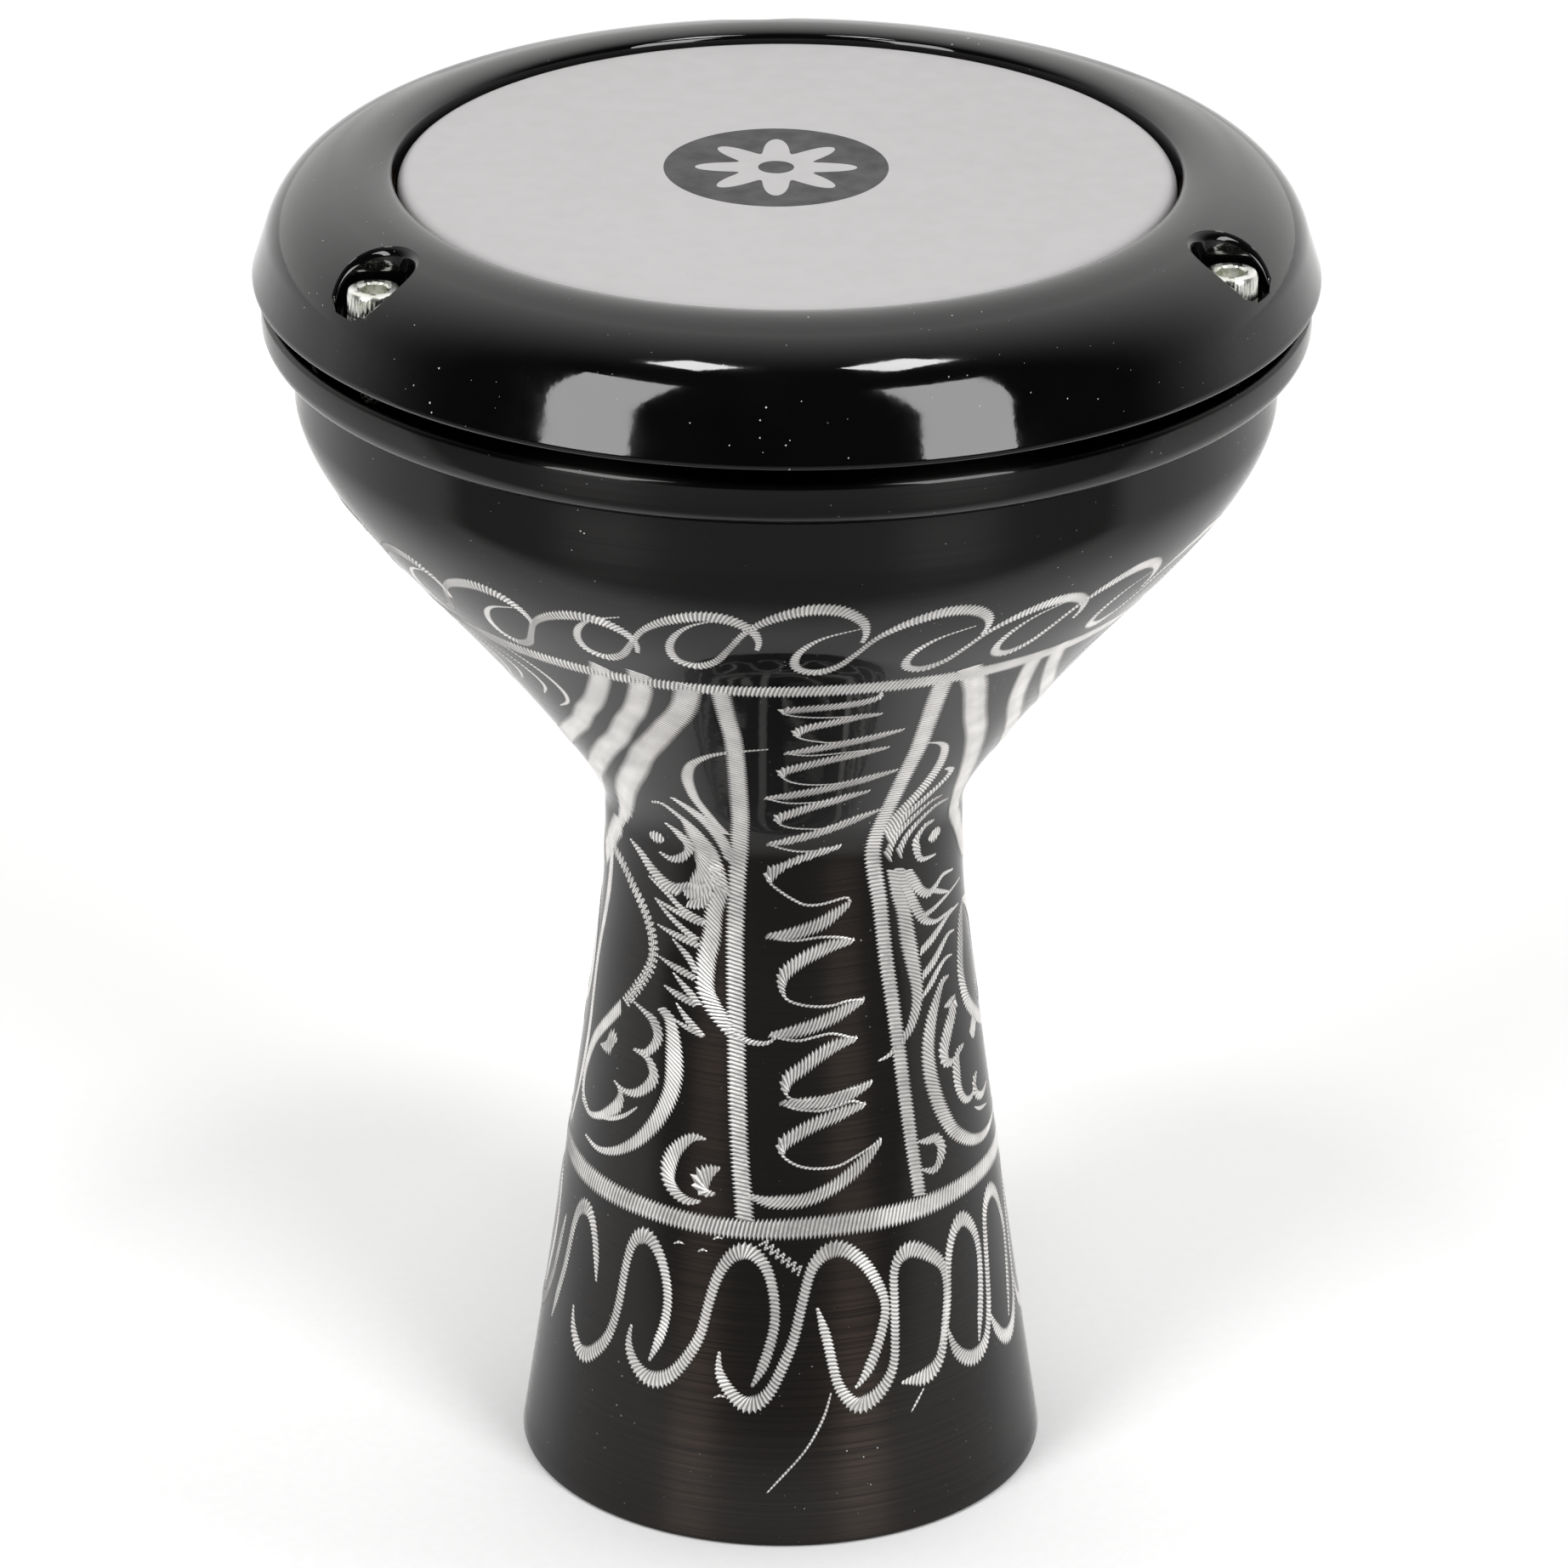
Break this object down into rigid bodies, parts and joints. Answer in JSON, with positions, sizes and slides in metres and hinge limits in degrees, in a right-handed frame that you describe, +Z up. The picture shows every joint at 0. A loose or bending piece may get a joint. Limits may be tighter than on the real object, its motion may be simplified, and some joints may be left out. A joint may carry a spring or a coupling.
{
  "type": "darbuka",
  "caption": "Small goblet drum: flared aluminium shell, film head in a flesh hoop, and a domed tension ring drawn down by recessed socket screws.",
  "frame": {"origin": "centre of the foot's rest face", "axes": "+Z up along the drum's axis; -Y towards the front, +X to the right"},
  "size_m": [0.2, 0.2, 0.2665],
  "materials": {
    "shell_lacquer": "dark translucent lacquer over brushed aluminium",
    "film": "smooth polyester film, satin white",
    "hoop_aluminium": "mill finish",
    "resin": "cast resin",
    "ring_paint": "high-gloss black paint over cast aluminium",
    "zinc": "bright zinc plate"
  },
  "bodies": {
    "shell": {"shell": "shell_lacquer", "drumhead_film": "film"},
    "ring": {"tension_ring": "ring_paint", "flesh_hoop": "hoop_aluminium", "hoop_resin": "resin"},
    "screw_1": {"tension_screw_1": "zinc"},
    "screw_2": {"tension_screw_2": "zinc"},
    "screw_3": {"tension_screw_3": "zinc"}
  },
  "joints": [
    {"name": "ring_travel", "type": "slide", "parent": "shell", "child": "ring", "axis": [0, 0, 1], "range_m": [-0.0015, 0.0008]},
    {"name": "screw_1_turn", "type": "hinge", "parent": "ring", "child": "screw_1", "pos_m": [-0.00628, 0.08978, 0.25], "axis": [0, 0, 1], "range_deg": [-541, 289]},
    {"name": "screw_2_turn", "type": "hinge", "parent": "ring", "child": "screw_2", "pos_m": [-0.07461, -0.05033, 0.25], "axis": [0, 0, 1], "range_deg": [-541, 289]},
    {"name": "screw_3_turn", "type": "hinge", "parent": "ring", "child": "screw_3", "pos_m": [0.08089, -0.03945, 0.25], "axis": [0, 0, 1], "range_deg": [-541, 289]}
  ],
  "couplings": [
    {"joint": "screw_1_turn", "follows": "ring_travel", "rad_per_m": 6283.2},
    {"joint": "screw_2_turn", "follows": "ring_travel", "rad_per_m": 6283.2},
    {"joint": "screw_3_turn", "follows": "ring_travel", "rad_per_m": 6283.2}
  ]
}
